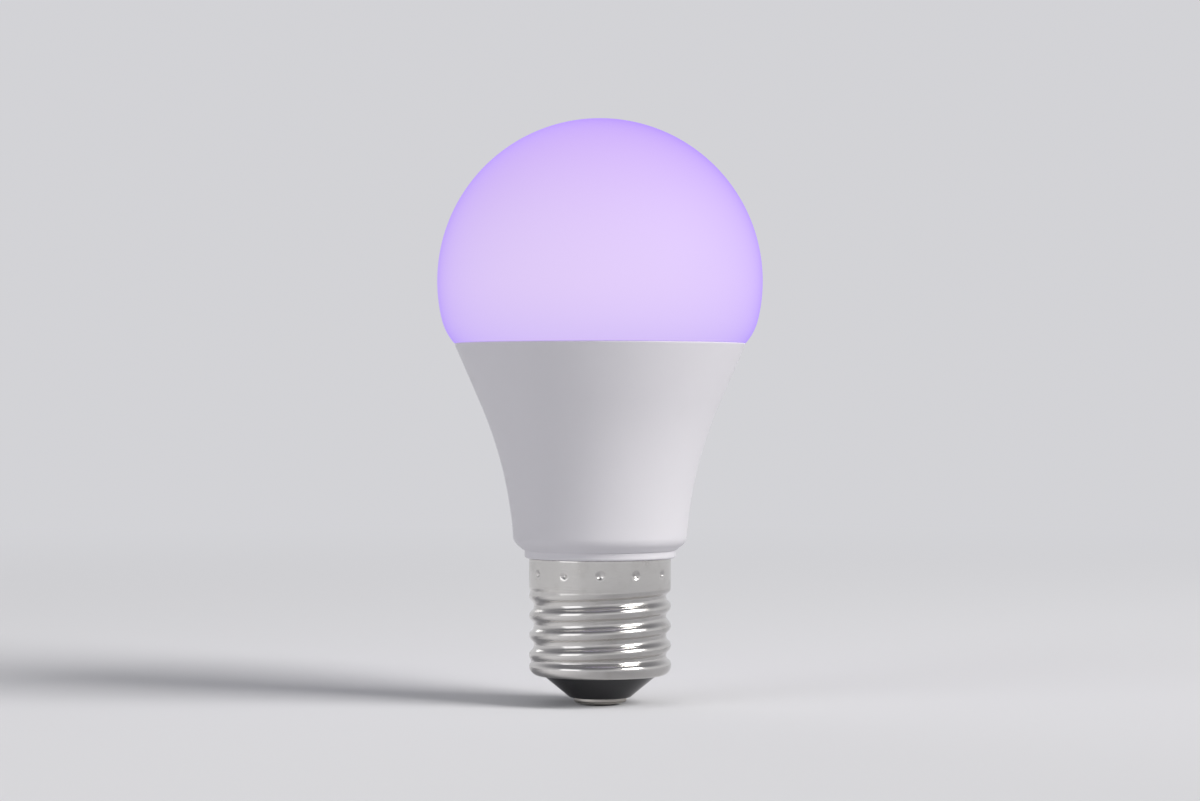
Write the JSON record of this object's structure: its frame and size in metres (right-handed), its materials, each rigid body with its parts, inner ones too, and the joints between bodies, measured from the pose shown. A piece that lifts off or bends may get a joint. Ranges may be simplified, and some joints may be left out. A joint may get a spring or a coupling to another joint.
{
  "type": "led light bulb",
  "caption": "LED lamp with an opal globe that glows lavender, a flared matt white housing and a round-thread screw cap, with its light board and driver inside.",
  "frame": {"origin": "end of the centre contact, on the lamp's axis", "axes": "+Z along the lamp's axis from the cap to the top of the globe; the driver board lies in the XZ plane"},
  "size_m": [0.06, 0.06, 0.108],
  "materials": {
    "diffuser": "matt opal, lit lavender from inside",
    "silicone": "matt white silicone",
    "housing_plastic": "fine matt moulded",
    "cap_metal": "nickel plated, rolled",
    "insulator": "gloss black",
    "contact_metal": "plated, worn bright",
    "aluminium_sheet": "drawn aluminium",
    "thermal_pad": "soft grey pad",
    "white_board": "white solder mask",
    "zinc_screw": "zinc plated",
    "white_nylon": "moulded nylon",
    "gold_pins": "plated",
    "green_board": "green solder mask",
    "ferrite": "dull ferrite",
    "bobbin": "moulded phenolic",
    "yellow_tape": "polyester tape",
    "dark_sleeve": "shrunk sleeve",
    "copper_wire": "lacquered copper",
    "blue_coating": "dipped coating",
    "green_coating": "lacquered",
    "black_package": "moulded epoxy",
    "blue_board": "dark blue solder mask",
    "tinned_can": "tinned sheet",
    "tinned_wire": "tinned copper",
    "white_emitter": "phosphor in a white frame",
    "colour_emitter": "clear resin in a white frame"
  },
  "bodies": {
    "root": {"board_screws": "zinc_screw", "bridge_rectifier": "black_package", "cap_insulator": "insulator", "centre_contact": "contact_metal", "coil_core": "ferrite", "coil_winding": "copper_wire", "colour_led_1": "colour_emitter", "colour_led_2": "colour_emitter", "colour_led_3": "colour_emitter", "colour_led_4": "colour_emitter", "colour_led_5": "colour_emitter", "colour_led_6": "colour_emitter", "connector_block": "white_nylon", "connector_pins": "gold_pins", "controller_chip": "black_package", "driver_board": "green_board", "fuse_resistor": "green_coating", "globe": "diffuser", "globe_seal": "silicone", "heat_sink_cup": "aluminium_sheet", "housing": "housing_plastic", "input_capacitor": "dark_sleeve", "led_board": "white_board", "live_lead": "tinned_wire", "module_board": "blue_board", "module_header": "black_package", "module_shield": "tinned_can", "neutral_lead": "tinned_wire", "output_capacitor": "dark_sleeve", "output_diode": "black_package", "screw_shell": "cap_metal", "thermal_pad": "thermal_pad", "transformer_bobbin": "bobbin", "transformer_core": "ferrite", "transformer_winding": "yellow_tape", "varistor": "blue_coating", "white_led_1": "white_emitter", "white_led_10": "white_emitter", "white_led_11": "white_emitter", "white_led_12": "white_emitter", "white_led_2": "white_emitter", "white_led_3": "white_emitter", "white_led_4": "white_emitter", "white_led_5": "white_emitter", "white_led_6": "white_emitter", "white_led_7": "white_emitter", "white_led_8": "white_emitter", "white_led_9": "white_emitter"}
  },
  "joints": []
}
